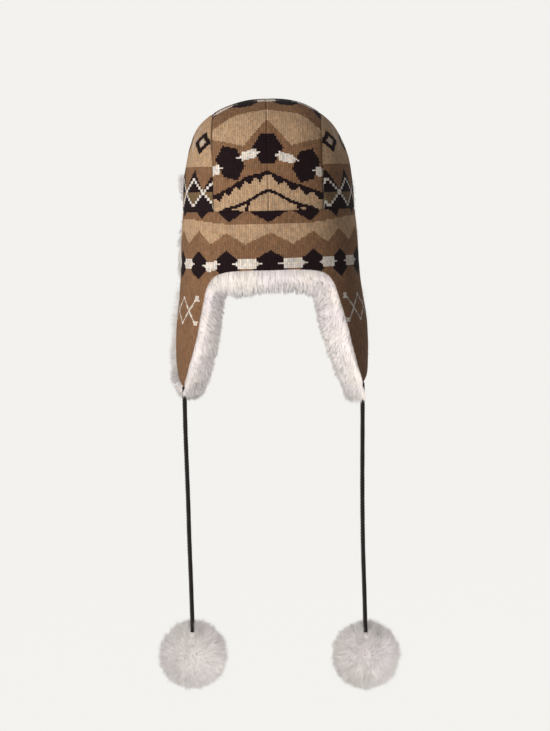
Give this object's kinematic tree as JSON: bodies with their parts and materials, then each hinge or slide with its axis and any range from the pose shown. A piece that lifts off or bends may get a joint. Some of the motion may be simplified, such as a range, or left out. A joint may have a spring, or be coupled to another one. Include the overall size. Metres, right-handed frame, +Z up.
{
  "type": "earflap hat",
  "caption": "Knitted cap with a patterned band, fur-lined earflaps, a fur cuff at the back and ties that end in fur pompoms; keeps head and ears warm.",
  "frame": {"origin": "the point inside the top of the crown where the head touches the lining", "axes": "+Z up through the crown, front of the hat towards -Y, wearer's left side towards +X"},
  "size_m": [0.2671, 0.2365, 0.652],
  "materials": {
    "knit": "fine jacquard knit in tan, brown, near-black, cream and olive wool, matt",
    "fur": "soft pinkish off-white fur, pile 9 to 25 mm",
    "cord": "dark brown twisted cord, matt",
    "pompom_fur": "dense round pinkish off-white fur"
  },
  "bodies": {
    "root": {"crown_center_left": "knit", "crown_center_right": "knit", "crown_side_left": "knit", "crown_side_right": "knit", "band_with_earflaps": "knit", "fur_lining": "fur", "back_cuff": "fur", "tie_cord_left": "cord", "tie_cord_right": "cord", "pompom_left": "pompom_fur", "pompom_right": "pompom_fur"}
  },
  "joints": []
}
